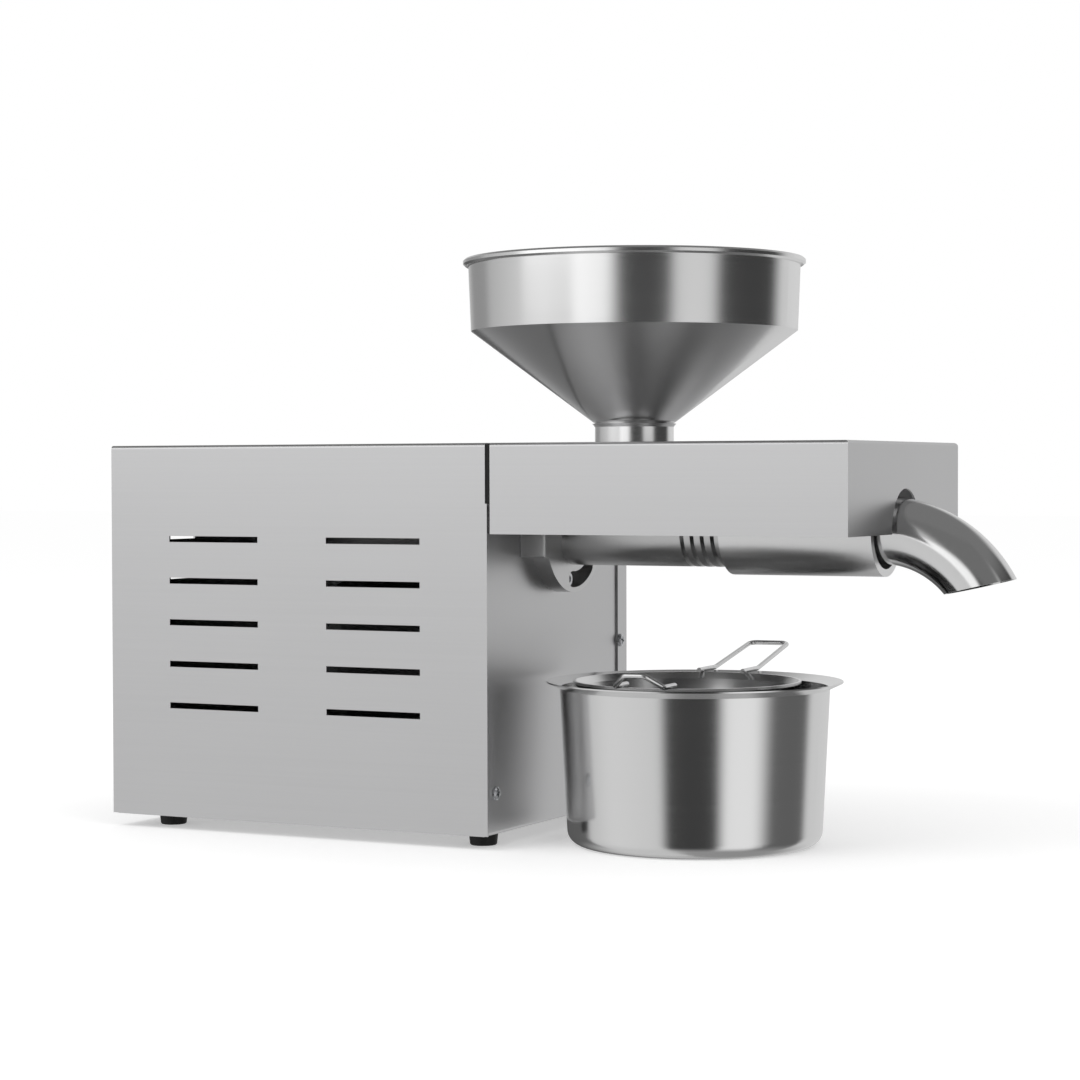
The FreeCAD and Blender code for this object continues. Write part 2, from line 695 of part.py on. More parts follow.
def make_press_screw():
    """Press screw: hexagonal tail, core that thickens toward the outlet, and one helical flight."""
    body = start_body("press_screw", z="axis_z")
    tail = start_sketch(body, "YZ_Plane", "0.2")
    outline(tail, hexagon("hex_half"))
    grow(body, "Pad", tail, "17")
    core = start_sketch(body, "XZ_Plane")
    outline(core, [
        ("15.2", "0"), ("15.2", "flight_radius - 0.2"), ("19", "flight_radius - 0.2"), ("21", "core_tail"),
        ("118", "core_tail + 1.8"), ("barrel_front - 4", "core_front"), ("barrel_front + 6", "core_front"),
        ("choke_front - 2", "7"), ("choke_front - 2", "0")])
    turn(body, "Revolution", core, "H_Axis")
    flight = start_sketch(body, "XZ_Plane")
    outline(flight, [("17.5", "7"), ("23", "7"), ("21.4", "flight_radius"), ("18.9", "flight_radius")])
    helix = body.newObject("PartDesign::AdditiveHelix", "screw_flight")
    helix.Profile = flight
    helix.ReferenceAxis = (flight, ["H_Axis"])
    helix.Mode = "pitch-turns-angle"
    bind(helix, "Pitch", "flight_pitch")
    helix.Turns = 7
    body.Tip = helix


def make_sleeve():
    """Front sleeve round the barrel's end, the band heater inside it and the choke ring."""
    turned_x("front_sleeve", [
        ("sleeve_start", "barrel_radius"), ("sleeve_start", "sleeve_radius"), ("sleeve_front", "sleeve_radius"),
        ("sleeve_front", "elbow_radius + 3"), ("choke_front + 1", "elbow_radius + 3"), ("choke_front + 1", "25.3"),
        ("sleeve_start + 4", "25.3"), ("sleeve_start + 4", "barrel_radius")])
    turned_x("band_heater", [
        ("sleeve_start + 8", "barrel_radius"), ("sleeve_start + 60", "barrel_radius"),
        ("sleeve_start + 60", "25.2"), ("sleeve_start + 8", "25.2")])
    turned_x("choke_ring", [
        ("barrel_front", "16"), ("barrel_front", "25.2"), ("choke_front", "25.2"), ("choke_front", "elbow_radius - 4")])


def make_elbow():
    """Residue outlet: a bent tube whose mouth is trimmed nearly level."""
    body = start_body("residue_elbow", z="axis_z")
    path = start_sketch(body, "XZ_Plane")
    begin = number("choke_front")
    bend = number("elbow_bend")
    start = number("elbow_start")
    end_angle = math.radians(90 - number("elbow_turn"))
    path.addGeometry(Part.LineSegment(vector(begin, 0, 0), vector(start, 0, 0)), False)
    ring = Part.Circle(vector(start, -bend, 0), vector(0, 0, 1), bend)
    path.addGeometry(Part.ArcOfCircle(ring, end_angle, math.pi / 2), False)
    path.addConstraint(Sketcher.Constraint("Tangent", 0, 2, 1, 2))
    path.addConstraint(Sketcher.Constraint("Horizontal", 0))
    constrain(path, "DistanceX", (-1, 1, 0, 1), "choke_front")
    constrain(path, "DistanceY", (-1, 1, 0, 1), "0")
    constrain(path, "DistanceX", (-1, 1, 0, 2), "elbow_start")
    constrain(path, "Radius", (1,), "elbow_bend")
    constrain(path, "DistanceX", (-1, 1, 1, 1), "elbow_start + elbow_bend * sin(elbow_turn)")
    section = start_sketch(body, "YZ_Plane", "choke_front")
    circle(section, "0", "0", "elbow_radius")
    circle(section, "0", "0", "elbow_radius - elbow_gauge")
    tube = body.newObject("PartDesign::AdditivePipe", "elbow_tube")
    tube.Profile = section
    tube.Spine = path
    trim = start_sketch(body, "XZ_Plane")
    run = 60
    outline(trim, [
        ("outlet_x - %d * cos(outlet_tilt)" % run, "-outlet_drop - %d * sin(outlet_tilt)" % run),
        ("outlet_x - %d * cos(outlet_tilt)" % run, "-outlet_drop - 90"),
        ("outlet_x + %d * cos(outlet_tilt)" % run, "-outlet_drop - 90"),
        ("outlet_x + %d * cos(outlet_tilt)" % run, "-outlet_drop + %d * sin(outlet_tilt)" % run)])
    grow(body, "Pocket", trim, "80", both=True)


# ---------------------------------------------------------------- arm cover

def make_arm_cover():
    """Sheet cover over the barrel: open below and toward the housing, arched at the outlet end."""
    body = start_body("arm_cover")
    half = "housing_deep / 2"
    low = "(housing_top - arm_high)"
    sketch = start_sketch(body, "XY_Plane", low)
    box_outline(sketch, "arm_gap", "-" + half, "arm_reach", half)
    grow(body, "Pad", sketch, "arm_high")
    round_edges(body, "fold", lambda edge, middle: middle.z > number("housing_top") - 0.1
                and (middle.x > number("arm_reach") - 0.1 or abs(middle.y) > number(half) - 0.1))
    inside = start_sketch(body, "XY_Plane", low + " + gauge")
    box_outline(inside, "arm_gap - 1", "-%s + gauge" % half, "arm_reach - gauge", half + " - gauge")
    grow(body, "Pocket", inside, "arm_high - 2 * gauge", reverse=True)
    mouth = start_sketch(body, "XY_Plane", low + " - 1")
    box_outline(mouth, "arm_gap - 1", "-%s + arm_hem" % half, "arm_reach - arm_hem", half + " - arm_hem")
    grow(body, "Pocket", mouth, "gauge + 2", reverse=True)
    arch = start_sketch(body, "YZ_Plane", "arm_reach + 1")
    arch_outline(arch, "axis_z", low + " - 1", "arch_half")
    grow(body, "Pocket", arch, "arm_hem + 3")
    neck = start_sketch(body, "XY_Plane", "housing_top + 1")
    circle(neck, "hopper_x", "0", "neck_hole")
    grow(body, "Pocket", neck, "gauge + 2")


def arch_outline(sketch, centre, foot, radius):
    """Draw an upright slot with a round top."""
    middle = number(centre)
    base = number(foot)
    size = number(radius)
    ring = Part.Circle(vector(0, middle, 0), vector(0, 0, 1), size)
    sketch.addGeometry(Part.ArcOfCircle(ring, 0, math.pi), False)
    for begin, end in (((-size, middle), (-size, base)), ((-size, base), (size, base)), ((size, base), (size, middle))):
        sketch.addGeometry(Part.LineSegment(vector(*begin, 0), vector(*end, 0)), False)
    sketch.addConstraint(Sketcher.Constraint("Tangent", 0, 2, 1, 1))
    sketch.addConstraint(Sketcher.Constraint("Tangent", 3, 2, 0, 1))
    for geometry, other in ((1, 2), (2, 3)):
        sketch.addConstraint(Sketcher.Constraint("Coincident", geometry, 2, other, 1))
    sketch.addConstraint(Sketcher.Constraint("Horizontal", 2))
    constrain(sketch, "DistanceX", (-1, 1, 0, 3), "0")
    constrain(sketch, "DistanceY", (-1, 1, 0, 3), centre)
    constrain(sketch, "Radius", (0,), radius)
    constrain(sketch, "DistanceY", (-1, 1, 2, 1), foot)


def make_arm_rails():
    """Two angle rails on the housing's end panel that carry the arm cover."""
    for name, side in (("front", "-"), ("rear", "")):
        body = start_body("arm_rail_" + name)
        sketch = start_sketch(body, "YZ_Plane", "-gauge")
        far = side + "(housing_deep / 2 - 16)"
        near = side + "(housing_deep / 2 - 16 - rail_wide)"
        inset = side + "(housing_deep / 2 - 18)"
        top = "housing_top - gauge - 0.4"
        outline(sketch, [(near, top), (far, top), (far, top + " - rail_wide"), (inset, top + " - rail_wide"),
                         (inset, top + " - 2"), (near, top + " - 2")])
        grow(body, "Pad", sketch, "150")


def make_arm_seal():
    """Rubber strip on the housing's end face that the arm cover closes against."""
    body = start_body("arm_seal")
    side = "(housing_deep / 2 - 0.6)"
    top = "(housing_top - 0.6)"
    rail_far = "(housing_deep / 2 - 15.8)"
    rail_near = "(housing_deep / 2 - 16.2 - rail_wide)"
    half = [(side, top), (side, "flange_high"), (side + " - 5", "flange_high"), (side + " - 5", top + " - 5"),
            (rail_far, top + " - 5"), (rail_far, top + " - 0.9"), (rail_near, top + " - 0.9"),
            (rail_near, top + " - 5")]
    mirrored = [("-(%s)" % across, up) for across, up in reversed(half)]
    sketch = start_sketch(body, "YZ_Plane", "-gauge")
    outline(sketch, half + mirrored)
    grow(body, "Pad", sketch, "gauge + arm_gap - 0.4")


# ---------------------------------------------------------------- hopper, pot and strainer

def make_hopper():
    """Spun bowl with a rolled rim, and the neck tube welded under it."""
    slope = "1.67 * bowl_gauge"
    turned_z("hopper_bowl", [
        ("neck_radius - 0.2", "neck_top"), ("junction_radius", "junction_z"), ("wall_radius", "rim_z - 4"),
        ("rim_radius - 1.4", "rim_z - 4.2"), ("rim_radius", "rim_z - 3"), ("rim_radius", "rim_z - 1.2"),
        ("rim_radius - 1.4", "rim_z"), ("wall_radius - bowl_gauge", "rim_z - 1"),
        ("junction_radius - bowl_gauge", "junction_z + 0.5 * bowl_gauge"),
        ("neck_radius - 0.2 - " + slope, "neck_top")], x="hopper_x")
    turned_z("hopper_neck", [
        ("neck_radius - 1.5", "neck_foot"), ("neck_radius", "neck_foot"), ("neck_radius", "neck_top - 2"),
        ("neck_radius + 1.6", "neck_top"), ("neck_radius - 1.5", "neck_top")], x="hopper_x")


def make_feed_collar():
    """Saddle on the barrel that takes the hopper neck and funnels the seed into the feed port."""
    body = turned_z("feed_collar", [
        ("port_radius", "axis_z + 11"), ("port_radius", "axis_z + 24"), ("neck_radius - 1.5", "neck_foot - 0.3"),
        ("neck_radius + 0.35", "neck_foot - 0.3"), ("neck_radius + 0.35", "neck_foot + 9"),
        ("neck_radius + 3.8", "neck_foot + 9"), ("neck_radius + 3.8", "axis_z + 11")], x="hopper_x")
    barrel = start_sketch(body, "YZ_Plane")
    circle(barrel, "0", "axis_z", "barrel_radius")
    grow(body, "Pocket", barrel, "90", both=True)


def make_pot():
    """Spun oil pot with a flared lip."""
    thin = "bowl_gauge"
    body = turned_z("oil_pot", [
        ("0", "0"), ("pot_foot", "0"), ("pot_mouth", "pot_high - 4.5"), ("pot_lip", "pot_high - 0.8"),
        ("pot_lip", "pot_high"), ("pot_mouth - " + thin, "pot_high - 3.6"), ("pot_foot - " + thin, thin), ("0", thin)],
        x="pot_x", y="pot_y")
    round_edges(body, "pot_corner", lambda edge, middle: middle.z < 0.01 and edge.Length > 400)
    round_edges(body, "pot_corner - bowl_gauge", lambda edge, middle: abs(middle.z - number(thin)) < 0.01
                and edge.Length > 400)


def make_strainer():
    """Strainer bowl that hangs in the pot by its handle and its ear."""
    thin = "bowl_gauge"
    top = "(pot_high + 0.3)"
    low = "(pot_high - strainer_deep)"
    body = turned_z("strainer_bowl", [
        ("0", low), ("strainer_radius - 16", low), ("strainer_radius - 3", top + " - 4"),
        ("strainer_radius", top + " - 1.6"), ("strainer_radius", top), ("strainer_radius - 1.6", top),
        ("strainer_radius - 3 - 1.1 * " + thin, top + " - 4"),
        ("strainer_radius - 16 - 1.1 * " + thin, low + " + " + thin), ("0", low + " + " + thin)],
        x="strainer_x", y="strainer_y")
    round_edges(body, "14", lambda edge, middle: middle.z < number(low) + 0.01 and edge.Length > 200)
    round_edges(body, "14 - bowl_gauge", lambda edge, middle: abs(middle.z - number(low + "+" + thin)) < 0.01
                and edge.Length > 200)


def make_strainer_wires():
    """The strainer's long loop handle and, opposite it, the short ear that rests on the pot's lip."""
    wire = number("wire_radius")
    flat = number("pot_high + 0.3") + wire
    rim = number("strainer_radius")
    reach = number("handle_reach")
    half = number("handle_half")
    rise = flat + number("handle_rise")
    side = [(rim - 9, half + 0.4, flat), (rim + 20, half + 0.2, flat), (reach - 2, half - 1, rise)]
    bent_wire("strainer_handle", side, 5, number("strainer_turn"))
    reach = number("ear_reach")
    half = number("ear_half")
    rise = flat + number("ear_rise")
    side = [(rim - 9, half, flat), (rim + 9, half, flat), (reach, half - 9, rise)]
    bent_wire("strainer_ear", side, 3, number("strainer_turn") + 180)


def bent_wire(label, side, bend, turn_angle):
    """A wire loop through the corners of one side and their mirror image, with rounded bends."""
    spots = [vector(*corner) for corner in side] + [vector(x, -y, z) for x, y, z in reversed(side)]
    edges = []
    start = spots[0]
    for before, corner, after in zip(spots, spots[1:], spots[2:]):
        inward = (before - corner).normalize()
        outward = (after - corner).normalize()
        half_angle = inward.getAngle(outward) / 2
        setback = min(bend / math.tan(half_angle), 0.45 * (after - corner).Length)
        begin = corner + inward * setback
        end = corner + outward * setback
        radius = setback * math.tan(half_angle)
        bisector = (inward + outward).normalize()
        middle = corner + bisector * (radius / math.sin(half_angle) - radius)
        edges += [Part.LineSegment(start, begin).toShape(), Part.Arc(begin, middle, end).toShape()]
        start = end
    edges.append(Part.LineSegment(start, spots[-1]).toShape())
    path = Part.Wire(edges)
    section = Part.Wire(Part.Circle(spots[0], spots[1] - spots[0], number("wire_radius")).toShape())
    loop = path.makePipeShell([section], True, True)
    loop.rotate(vector(0, 0, 0), vector(0, 0, 1), turn_angle)
    piece = doc.addObject("Part::Feature", label)
    piece.Shape = loop
    piece.Placement.Base = vector(number("end_x + strainer_x"), number("axis_y + strainer_y"), 0)
    piece.Label = label
    nodes[label] = piece


# ---------------------------------------------------------------- controls

def make_control_panel():
    """Moulded bezel on the rear wall with a display window and holes for keys and switches."""
    body = start_body("control_panel", y="housing_deep / 2")
    sketch = start_sketch(body, "XZ_Plane")
    box_outline(sketch, "panel_x - panel_wide / 2", "panel_z - panel_high / 2",
                "panel_x + panel_wide / 2", "panel_z + panel_high / 2")
    grow(body, "Pad", sketch, "2.6", reverse=True)
    round_edges(body, "6", lambda edge, middle: 2 < edge.Length < 3)
    round_edges(body, "1", lambda edge, middle: middle.y > 2.5, kind="Chamfer")
    back = start_sketch(body, "XZ_Plane")
    box_outline(back, "panel_x - panel_wide / 2 + 6.4", "panel_z - panel_high / 2 + 6.4",
                "panel_x + panel_wide / 2 - 6.4", "panel_z + panel_high / 2 - 6.4")
    grow(body, "Pad", back, "4")
    openings = start_sketch(body, "XZ_Plane", "-5")
    box_outline(openings, "panel_x - 56", "panel_z + 1", "panel_x + 2", "panel_z + 20")
    for index in range(4):
        circle(openings, key_x(index), "panel_z - 12", "key_radius + 0.35")
    for index in range(2):
        left = "rocker_x + rocker_pitch * %d" % index
        box_outline(openings, left + " - 7.6", "panel_z - 10.6", left + " + 7.6", "panel_z + 10.6")
    grow(body, "Pocket", openings, "20", reverse=True)
    window = start_body("display_window", y="housing_deep / 2")
    glass = start_sketch(window, "XZ_Plane", "-2.4")
    box_outline(glass, "panel_x - 56", "panel_z + 1", "panel_x + 2", "panel_z + 20")
    grow(window, "Pad", glass, "2.4")


def key_x(index):
    return "panel_x - 50 + 15 * %d" % index


def make_keys():
    """Four round push keys under the display."""
    for index, name in enumerate(("power_key", "heat_key", "minus_key", "plus_key")):
        body = start_body(name, x=key_x(index), y="housing_deep / 2", z="panel_z - 12")
        cap = start_sketch(body, "XZ_Plane", "3")
        circle(cap, "0", "0", "key_radius")
        grow(body, "Pad", cap, "7", reverse=True)
        round_edges(body, "0.7", lambda edge, middle: middle.y > 3.9, kind="Chamfer")


def make_rockers():
    """Two rocker switches: each a cased frame with a shallow V rocker on a horizontal pivot."""
    for index, name in enumerate(("power", "direction")):
        place = "rocker_x + rocker_pitch * %d" % index
        frame_body = start_body(name + "_switch_case", x=place, y="housing_deep / 2", z="panel_z")
        case = start_sketch(frame_body, "XZ_Plane", "-2.6")
        box_outline(case, "-7.6", "-10.6", "7.6", "10.6")
        grow(frame_body, "Pad", case, "22")
        lip = start_sketch(frame_body, "XZ_Plane", "-4.2")
        box_outline(lip, "-9", "-12.2", "9", "12.2")
        grow(frame_body, "Pad", lip, "1.6")
        well = start_sketch(frame_body, "XZ_Plane", "-4.2")
        box_outline(well, "-6.4", "-9.7", "6.4", "9.7")
        grow(frame_body, "Pocket", well, "13", reverse=True)
        rocker = start_body(name + "_rocker", x=place, y="housing_deep / 2 + 1.4", z="panel_z")
        side = start_sketch(rocker, "YZ_Plane")
        outline(side, [("-5", "-7"), ("3.9", "-8.4"), ("1.9", "0"), ("3.9", "8.4"), ("-5", "7")])
        grow(rocker, "Pad", side, "12.2", both=True)
        round_edges(rocker, "0.5", lambda edge, middle: middle.y > 3.8)
    nodes["power_rocker"].Placement.Rotation = FreeCAD.Rotation(vector(1, 0, 0), -8)


def make_control_board():
    """Circuit board behind the panel with its display module and relay."""
    board = block("board_plate", ("panel_x - 58", "housing_deep / 2 - 12", "panel_z - 22"),
                  ("panel_x + 14", "housing_deep / 2 - 10.4", "panel_z + 22"))
    display = block("board_display", ("panel_x - 55", "housing_deep / 2 - 10.4", "panel_z + 2"),
                    ("panel_x + 1", "housing_deep / 2 - 4.6", "panel_z + 19"))
    relay = block("board_relay", ("panel_x - 40", "housing_deep / 2 - 28", "panel_z - 12"),
                  ("panel_x - 12", "housing_deep / 2 - 12", "panel_z + 8"))
    combine("MultiFuse", "control_board", [board, display, relay])


def make_inlet():
    """Mains inlet socket in the closed end, with its three pins."""
    body = start_body("power_inlet", x="-housing_long", y="inlet_y", z="inlet_z")
    plate = start_sketch(body, "YZ_Plane", "gauge")
    box_outline(plate, "-24", "-12", "24", "12")
    grow(body, "Pad", plate, "1.8", reverse=True)
    case = start_sketch(body, "YZ_Plane")
    box_outline(case, "-13.5", "-9.9", "13.5", "9.9")
    grow(body, "Pad", case, "20")
    cavity = start_sketch(body, "YZ_Plane", "-1")
    outline(cavity, [("-12", "-8"), ("12", "-8"), ("12", "3.6"), ("7.6", "8"), ("-7.6", "8"), ("-12", "3.6")])
    grow(body, "Pocket", cavity, "17", reverse=True)
    ears = start_sketch(body, "YZ_Plane", "-1")
    for side in ("-", ""):
        circle(ears, side + "20", "0", "1.7")
    grow(body, "Pocket", ears, "8", reverse=True)
    pins = []
    for name, across, up in (("live", "-7", "-1.4"), ("neutral", "7", "-1.4"), ("earth", "0", "2.6")):
        low = ("-housing_long + 3.6", "inlet_y + %s - 1" % across, "inlet_z + %s - 2" % up)
        high = ("-housing_long + 16", "inlet_y + %s + 1" % across, "inlet_z + %s + 2" % up)
        pins.append(block("pin_" + name, low, high))
    combine("Compound", "inlet_pins", pins)


builders = (make_chassis, make_wrap_cover, make_cover_screws, make_feet, make_gears, make_gearbox, make_motor,
            make_fan, make_motor_cradle, make_idler_shaft, make_output_shaft, make_socket_flange, make_flange_bolts,
            make_barrel, make_press_screw, make_sleeve, make_elbow, make_arm_cover, make_arm_rails, make_arm_seal,
            make_hopper, make_feed_collar, make_pot, make_strainer, make_strainer_wires, make_control_panel,
            make_keys, make_rockers, make_control_board, make_inlet)
for build in builders:
    build()
doc.recompute()

failed = [item.Label for item in doc.Objects if "Invalid" in item.State or "Error" in item.State]
bad = [label for label, item in nodes.items() if item.Shape.isNull() or not item.Shape.isValid()]
if failed or bad:
    raise RuntimeError("failed objects %s, bad shapes %s" % (failed, bad))

os.makedirs("parts", exist_ok=True)
for label, item in nodes.items():
    item.Shape.exportStep("parts/%s.step" % label)
    print("%-24s solids %d volume %.1f mm3" % (label, len(item.Shape.Solids), item.Shape.Volume))
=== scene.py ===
import bpy
import bmesh
import json
import math
from mathutils import Matrix, Vector


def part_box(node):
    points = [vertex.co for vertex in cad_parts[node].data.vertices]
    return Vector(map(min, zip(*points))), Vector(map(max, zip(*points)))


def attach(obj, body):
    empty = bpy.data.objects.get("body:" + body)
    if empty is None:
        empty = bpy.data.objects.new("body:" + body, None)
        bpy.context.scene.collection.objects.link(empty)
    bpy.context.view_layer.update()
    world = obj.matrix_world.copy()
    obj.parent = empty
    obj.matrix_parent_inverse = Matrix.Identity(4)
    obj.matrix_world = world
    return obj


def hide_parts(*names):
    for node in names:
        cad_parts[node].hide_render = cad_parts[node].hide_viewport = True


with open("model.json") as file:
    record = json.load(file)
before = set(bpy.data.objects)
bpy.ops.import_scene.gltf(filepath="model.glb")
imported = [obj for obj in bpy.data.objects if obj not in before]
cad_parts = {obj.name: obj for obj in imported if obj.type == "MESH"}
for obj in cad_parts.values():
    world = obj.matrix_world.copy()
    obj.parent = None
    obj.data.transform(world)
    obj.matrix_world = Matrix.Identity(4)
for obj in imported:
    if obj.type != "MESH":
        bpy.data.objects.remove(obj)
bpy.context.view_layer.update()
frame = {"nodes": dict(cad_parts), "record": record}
nodes = frame["nodes"]


print("frame loaded:", len(nodes), "nodes")


def middleOf(node):
    low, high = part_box(node)
    return (low + high) / 2


# the upright axes that the spun pieces turn about, and the barrel's own axis
hopperAxis = middleOf("hopper_neck")
potAxis = middleOf("oil_pot")
bowlAxis = middleOf("strainer_bowl")
barrelAxis = middleOf("front_sleeve")



cameraLook = {
    "place": (0.7283, -1.5111, 0.2236),
    "forward": (-0.44989, 0.89274, -0.02478),
    "up": (-0.00891, 0.02326, 0.99969),
    "lens": 89.0,
}


def makeCamera():
    data = bpy.data.cameras.new("camera")
    data.sensor_width = 36
    data.lens = cameraLook["lens"]
    data.clip_end = 60
    camera = bpy.data.objects.new("camera", data)
    forward = Vector(cameraLook["forward"]).normalized()
    right = forward.cross(Vector(cameraLook["up"])).normalized()
    turn = Matrix((right, right.cross(forward), -forward)).transposed()
    camera.matrix_world = Matrix.Translation(cameraLook["place"]) @ turn.to_4x4()
    bpy.context.scene.collection.objects.link(camera)
    bpy.context.scene.camera = camera


makeCamera()



def startMaterial(name, colour, metallic, roughness):
    material = bpy.data.materials.new(name)
    material.use_nodes = True
    tree = material.node_tree
    shader = tree.nodes["Principled BSDF"]
    shader.inputs["Base Color"].default_value = (*colour, 1)
    shader.inputs["Metallic"].default_value = metallic
    shader.inputs["Roughness"].default_value = roughness
    return material, tree, shader


def addNode(tree, kind, inputs, **settings):
    node = tree.nodes.new(kind)
    for key, value in settings.items():
        setattr(node, key, value)
    for key, value in inputs.items():
        if isinstance(value, bpy.types.NodeSocket):
            tree.links.new(value, node.inputs[key])
        else:
            node.inputs[key].default_value = value
    return node


def maths(tree, operation, *values):
    return addNode(tree, "ShaderNodeMath", dict(enumerate(values)), operation=operation).outputs[0]


def placeOf(tree, centre=(0, 0, 0)):
    # a point's place in the row frame, counted from a centre
    spot = addNode(tree, "ShaderNodeTexCoord", {}).outputs["Object"]
    return addNode(tree, "ShaderNodeVectorMath", {0: spot, 1: centre}, operation="SUBTRACT").outputs[0]


def stretched(tree, place, scale):
    return addNode(tree, "ShaderNodeVectorMath", {0: place, 1: scale}, operation="MULTIPLY").outputs[0]


def turnedPlace(tree, centre, axis, across, along):
    # distance from an axis and place along it, each scaled, so that a pattern on it runs in rings
    parts = addNode(tree, "ShaderNodeSeparateXYZ", {0: placeOf(tree, centre)}).outputs
    squares = [maths(tree, "MULTIPLY", parts[letter], parts[letter]) for letter in "XYZ" if letter != axis]
    reach = maths(tree, "SQRT", maths(tree, "ADD", *squares))
    wide = maths(tree, "MULTIPLY", reach, across)
    far = maths(tree, "MULTIPLY", parts[axis], along)
    return addNode(tree, "ShaderNodeCombineXYZ", {0: wide, 1: far}).outputs[0]


def noise(tree, place, scale, detail=3.0):
    return addNode(tree, "ShaderNodeTexNoise", {"Vector": place, "Scale": scale, "Detail": detail}).outputs[0]


def spread(tree, value, low, high):
    # noise mostly lies between 0.3 and 0.7; this maps that onto a range
    return addNode(tree, "ShaderNodeMapRange", {0: value, 1: 0.3, 2: 0.7, 3: low, 4: high}).outputs[0]


def tint(tree, shader, colour, value, change):
    # lightens and darkens a colour a little by a pattern
    low = [part * (1 - change) for part in colour]
    high = [min(1.0, part * (1 + change)) for part in colour]
    mix = addNode(tree, "ShaderNodeMix", {0: value, 6: (*low, 1), 7: (*high, 1)}, data_type="RGBA")
    tree.links.new(mix.outputs[2], shader.inputs["Base Color"])


def bump(tree, shader, height, depth):
    node = addNode(tree, "ShaderNodeBump", {"Strength": 1.0, "Distance": depth, "Height": height})
    tree.links.new(node.outputs[0], shader.inputs["Normal"])


def brushedMetal(name, look, grain=(5, 700, 700)):
    # sheet with a fine straight grain; the grain runs along the axis with the small number
    colour, rough = look["colour"], look["rough"]
    material, tree, shader = startMaterial(name, colour, 1, rough)
    place = placeOf(tree)
    lines = noise(tree, stretched(tree, place, grain), 1.0, 2.0)
    clouds = noise(tree, place, 9.0)
    both = maths(tree, "ADD", maths(tree, "MULTIPLY", lines, 0.6), maths(tree, "MULTIPLY", clouds, 0.4))
    tree.links.new(spread(tree, both, rough - look["wander"], rough + look["wander"]), shader.inputs["Roughness"])
    tint(tree, shader, colour, spread(tree, both, 0, 1), look["tone"])
    bump(tree, shader, lines, look["depth"])
    return material


def spunMetal(name, look, centre, axis="Z"):
    # turned or spun work with fine rings round its axis
    colour, rough = look["colour"], look["rough"]
    material, tree, shader = startMaterial(name, colour, 1, rough)
    rings = noise(tree, turnedPlace(tree, centre, axis, look["rings"], look["rings"]), 1.0, 2.0)
    clouds = noise(tree, placeOf(tree, centre), 14.0)
    both = maths(tree, "ADD", maths(tree, "MULTIPLY", rings, 0.6), maths(tree, "MULTIPLY", clouds, 0.4))
    tree.links.new(spread(tree, both, rough - look["wander"], rough + look["wander"]), shader.inputs["Roughness"])
    tint(tree, shader, colour, spread(tree, both, 0, 1), look["tone"])
    bump(tree, shader, rings, look["depth"])
    if "streak" in look:
        shader.inputs["Anisotropic"].default_value = look["streak"]
        around = addNode(tree, "ShaderNodeTangent", {}, direction_type="RADIAL", axis=axis)
        tree.links.new(around.outputs[0], shader.inputs["Tangent"])
    return material


def grainySurface(name, look):
    # moulded, cast or rubber skin with an even fine texture
    colour, rough = look["colour"], look["rough"]
    material, tree, shader = startMaterial(name, colour, look.get("metallic", 0), rough)
    place = placeOf(tree)
    fine = noise(tree, place, look["grains"], 4.0)
    clouds = noise(tree, place, 30.0)
    tree.links.new(spread(tree, clouds, rough - look["wander"], rough + look["wander"]), shader.inputs["Roughness"])
    tint(tree, shader, colour, spread(tree, fine, 0, 1), look["tone"])
    bump(tree, shader, fine, look["depth"])
    shader.inputs["Specular IOR Level"].default_value = look.get("gloss", 0.5)
    return material


def woundMetal(name, look, centre, axis="X"):
    # wire wound or plates stacked: even stripes along an axis
    colour, rough = look["colour"], look["rough"]
    material, tree, shader = startMaterial(name, colour, 1, rough)
    place = turnedPlace(tree, centre, axis, look["across"], look["along"])
    wave = addNode(tree, "ShaderNodeTexWave", {"Vector": place, "Scale": 1.0, "Distortion": look["uneven"],
                                               "Detail": 1.0}, bands_direction=look["bands"])
    tint(tree, shader, colour, wave.outputs[0], look["tone"])
    bump(tree, shader, wave.outputs[0], look["depth"])
    return material



